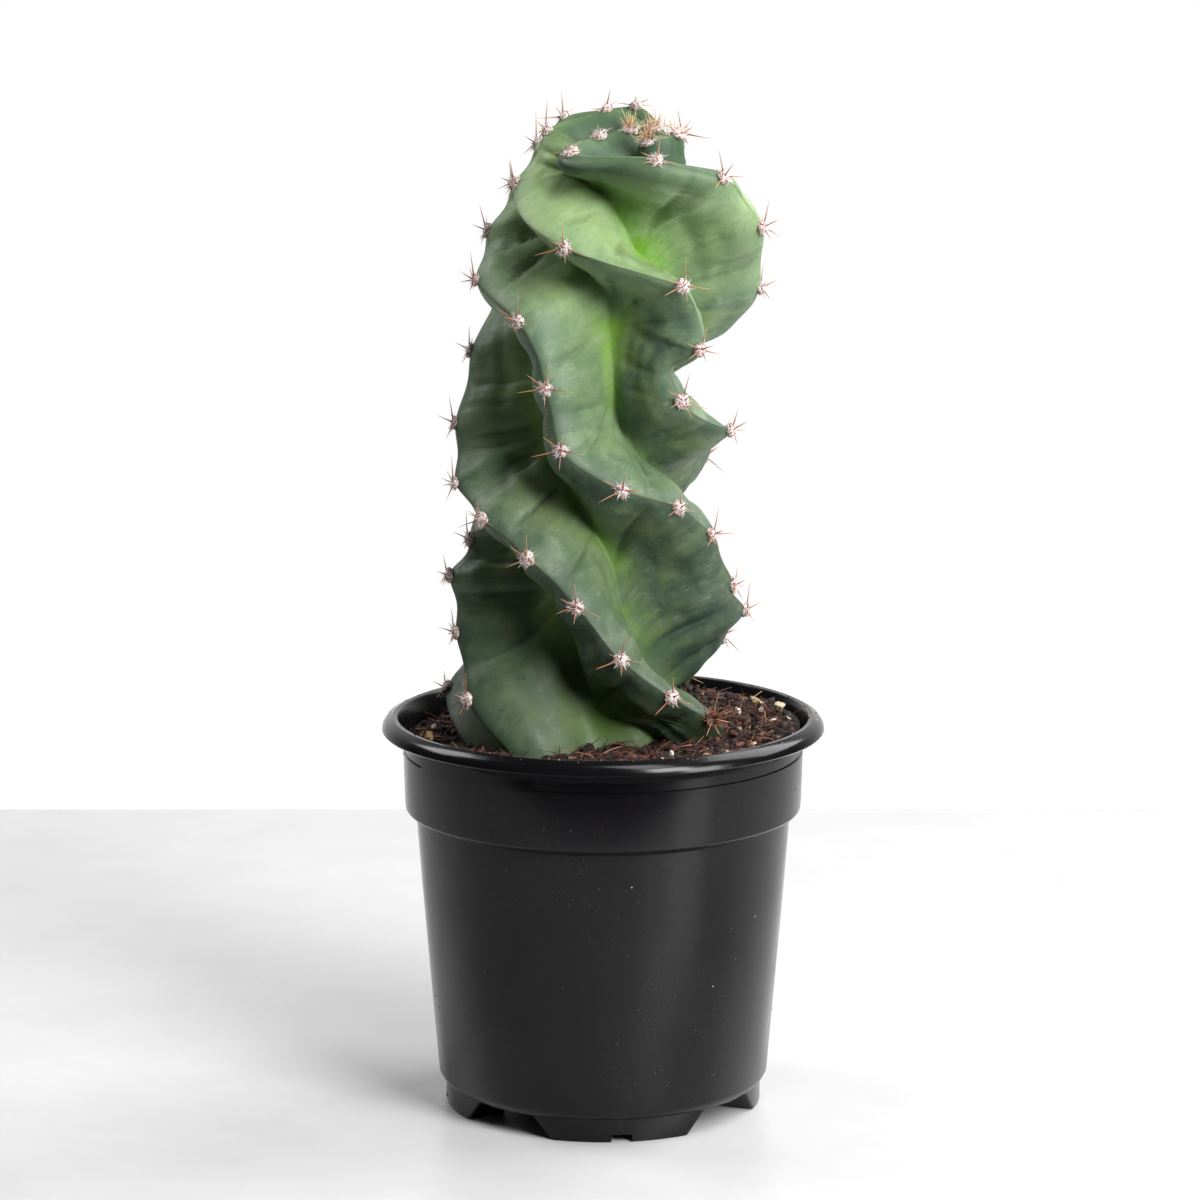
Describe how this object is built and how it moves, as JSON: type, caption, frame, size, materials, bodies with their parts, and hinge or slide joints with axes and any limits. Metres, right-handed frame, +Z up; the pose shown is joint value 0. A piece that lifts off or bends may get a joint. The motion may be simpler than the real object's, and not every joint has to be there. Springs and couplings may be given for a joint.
{
  "type": "potted spiral cactus",
  "caption": "Columnar cactus with deep ribs twisted like a screw and spined areoles along their edges, growing in potting mix in a round black plastic nursery pot.",
  "frame": {"origin": "on the surface that the pot stands on, at the middle of the pot", "axes": "+Z up along the pot's axis, -Y towards the side that the picture shows, +X to that side's right"},
  "size_m": [0.1298, 0.13, 0.3019],
  "materials": {
    "pot_plastic": "black injection-moulded polypropylene with a soft sheen, scuffs and dust",
    "potting_mix": "loose, fibrous, matt peat mix with white grit",
    "cactus_skin": "living green skin with a thin waxy bloom"
  },
  "bodies": {
    "root": {"pot": "pot_plastic", "soil": "potting_mix", "cactus": "cactus_skin"}
  },
  "joints": []
}
